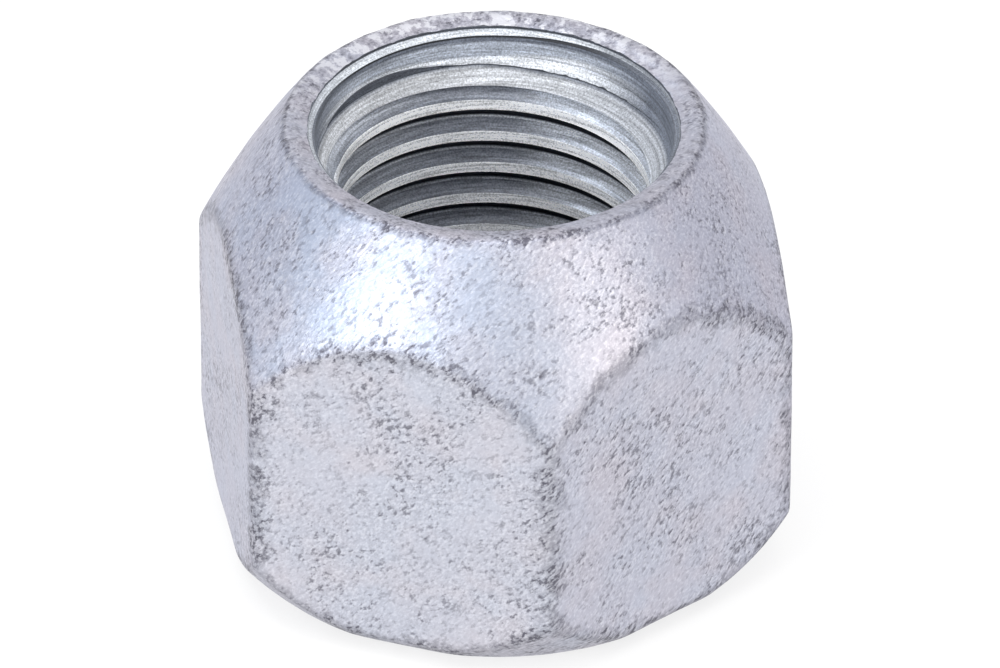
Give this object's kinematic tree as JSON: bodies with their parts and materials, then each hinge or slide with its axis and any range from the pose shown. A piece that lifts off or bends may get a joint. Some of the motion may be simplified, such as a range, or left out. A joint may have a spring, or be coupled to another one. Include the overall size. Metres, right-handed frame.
{
  "type": "lug nut",
  "caption": "Hexagon wheel nut with a crowned conical seat, a rounded lip, a recess at the mouth of its through thread and a chamfered flat end.",
  "frame": {"origin": "centre of the flat hexagon end, on the thread axis", "axes": "+Z along the thread axis, out of the conical seat end; two of the hexagon's flats are square to X and two of its corners lie on Y"},
  "size_m": [0.022, 0.0252, 0.0189],
  "materials": {
    "zinc_coat": "matt zinc coat on forged steel, mottled and finely pitted"
  },
  "bodies": {
    "root": {"lug_nut": "zinc_coat"}
  },
  "joints": []
}
